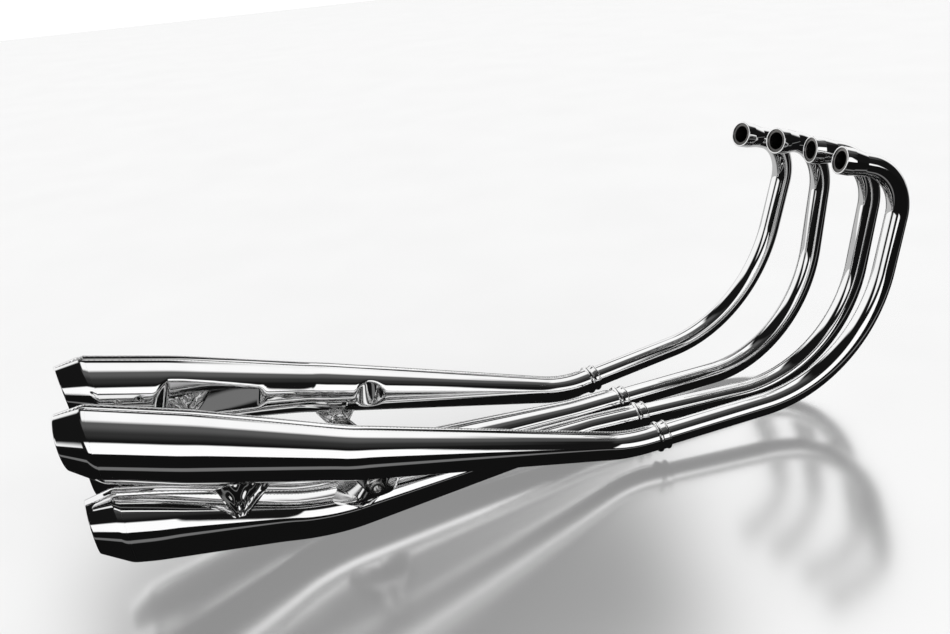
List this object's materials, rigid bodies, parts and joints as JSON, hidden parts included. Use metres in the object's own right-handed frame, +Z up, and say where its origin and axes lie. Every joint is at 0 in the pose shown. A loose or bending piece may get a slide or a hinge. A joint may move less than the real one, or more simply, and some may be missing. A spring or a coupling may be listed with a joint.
{
  "type": "motorcycle exhaust set",
  "caption": "Chrome motorcycle exhaust: separate header pipes run from the cylinders to stacked megaphone silencers on both sides, with slash-cut tails and a hanger lug.",
  "frame": {"origin": "on the ground plane, under the middle of the bounding box, on the bike's centre plane", "axes": "+X forward along the bike, +Y to the rider's left, +Z up"},
  "size_m": [1.3472, 0.3576, 0.463],
  "materials": {
    "chrome_steel": "mirror chrome plate on steel",
    "chrome_brackets": "chrome plate, a little duller than the tubes",
    "bright_rings": "polished chrome rings",
    "pipe_inner_wall": "dull steel",
    "graphite": null,
    "plain_steel": "unplated steel sheet",
    "sooty_steel": "sooted steel",
    "plated_hardware": "zinc plate"
  },
  "bodies": {
    "silencers": {"collar_left_outer": "bright_rings", "collar_left_inner": "bright_rings", "collar_right_inner": "bright_rings", "collar_right_outer": "bright_rings", "seal_left_outer": "graphite", "seal_left_inner": "graphite", "seal_right_inner": "graphite", "seal_right_outer": "graphite", "shell_left_upper_outboard": "chrome_steel", "shell_left_upper_inboard": "chrome_steel", "shell_left_lower_outboard": "chrome_steel", "shell_left_lower_inboard": "chrome_steel", "shell_right_lower_outboard": "chrome_steel", "shell_right_lower_inboard": "chrome_steel", "shell_right_upper_outboard": "chrome_steel", "shell_right_upper_inboard": "chrome_steel", "tail_cone_left_upper": "chrome_steel", "tail_cone_left_lower": "chrome_steel", "tail_cone_right_lower": "chrome_steel", "tail_cone_right_upper": "chrome_steel", "chamber_left_upper": "plain_steel", "chamber_left_lower": "plain_steel", "chamber_right_lower": "plain_steel", "chamber_right_upper": "plain_steel", "lower_lug_left": "chrome_brackets", "lower_lug_right": "chrome_brackets", "upper_lug_left": "chrome_brackets", "upper_lug_right": "chrome_brackets", "hanger_bush_left": "plated_hardware", "hanger_bush_right": "plated_hardware", "rear_gusset_left": "chrome_brackets", "rear_gusset_right": "chrome_brackets", "baffle_bolts": "plated_hardware"},
    "header_left_outer": {"header_left_outer": "chrome_steel", "liner_left_outer": "pipe_inner_wall", "port_ring_left_outer": "bright_rings"},
    "baffle_left_upper": {"baffle_left_upper": "sooty_steel"},
    "header_left_inner": {"header_left_inner": "chrome_steel", "liner_left_inner": "pipe_inner_wall", "port_ring_left_inner": "bright_rings"},
    "baffle_left_lower": {"baffle_left_lower": "sooty_steel"},
    "header_right_outer": {"header_right_outer": "chrome_steel", "liner_right_outer": "pipe_inner_wall", "port_ring_right_outer": "bright_rings"},
    "baffle_right_upper": {"baffle_right_upper": "sooty_steel"},
    "header_right_inner": {"header_right_inner": "chrome_steel", "liner_right_inner": "pipe_inner_wall", "port_ring_right_inner": "bright_rings"},
    "baffle_right_lower": {"baffle_right_lower": "sooty_steel"}
  },
  "joints": [
    {"name": "slip_joint_left_outer", "type": "slide", "parent": "silencers", "child": "header_left_outer", "axis": [0.994, 0.0989, 0.0472], "range_m": [0, 0.03]},
    {"name": "baffle_pull_left_upper", "type": "slide", "parent": "silencers", "child": "baffle_left_upper", "axis": [-0.9488, -0.1077, 0.2969], "range_m": [0, 0.2]},
    {"name": "slip_joint_left_inner", "type": "slide", "parent": "silencers", "child": "header_left_inner", "axis": [0.9976, 0.0554, -0.0416], "range_m": [0, 0.03]},
    {"name": "baffle_pull_left_lower", "type": "slide", "parent": "silencers", "child": "baffle_left_lower", "axis": [-0.941, 0.1037, 0.3222], "range_m": [0, 0.2]},
    {"name": "slip_joint_right_outer", "type": "slide", "parent": "silencers", "child": "header_right_outer", "axis": [0.994, -0.0989, 0.0472], "range_m": [0, 0.03]},
    {"name": "baffle_pull_right_upper", "type": "slide", "parent": "silencers", "child": "baffle_right_upper", "axis": [-0.9488, 0.1077, 0.2969], "range_m": [0, 0.2]},
    {"name": "slip_joint_right_inner", "type": "slide", "parent": "silencers", "child": "header_right_inner", "axis": [0.9976, -0.0554, -0.0416], "range_m": [0, 0.03]},
    {"name": "baffle_pull_right_lower", "type": "slide", "parent": "silencers", "child": "baffle_right_lower", "axis": [-0.941, -0.1037, 0.3222], "range_m": [0, 0.2]}
  ]
}
